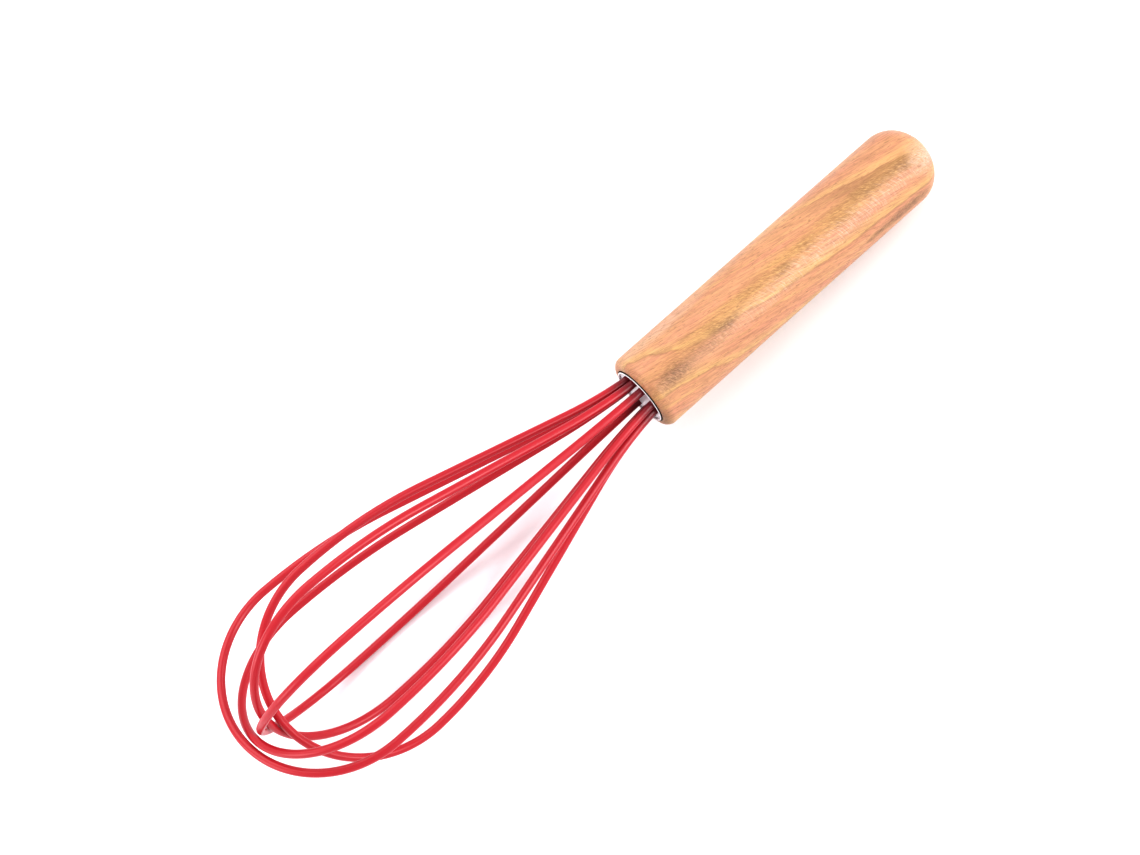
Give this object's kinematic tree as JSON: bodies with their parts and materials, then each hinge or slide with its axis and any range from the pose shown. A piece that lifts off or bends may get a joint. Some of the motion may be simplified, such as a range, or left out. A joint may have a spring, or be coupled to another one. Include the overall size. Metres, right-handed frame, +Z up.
{
  "type": "silicone whisk",
  "caption": "Balloon whisk with a round wooden handle, a steel ferrule let into its end and bowed red silicone-coated wire loops, lying as it rests on a table.",
  "frame": {"origin": "Middle of the bounding box seen from above, at z = 0, where the butt of the handle and the lowest legs of two loops rest on the table.", "axes": "+X from the handle toward the tip of the balloon, along the whole length; +Z up; the whisk's own axis lies parallel to the XZ plane, just beside it because the loops lean a little, and rises a few degrees toward +X, because the balloon is wider than the handle."},
  "size_m": [0.2633, 0.0654, 0.0645],
  "materials": {
    "wood": "satin",
    "steel": "satin",
    "silicone": "satin",
    "epoxy": "gloss"
  },
  "bodies": {
    "root": {"handle": "wood", "ferrule_cup": "steel", "wire_plate": "steel", "potting_plug": "epoxy", "wire_core_1": "steel", "wire_core_2": "steel", "wire_core_3": "steel", "wire_core_4": "steel", "wire_core_5": "steel", "silicone_coat_1": "silicone", "silicone_coat_2": "silicone", "silicone_coat_3": "silicone", "silicone_coat_4": "silicone", "silicone_coat_5": "silicone"}
  },
  "joints": []
}
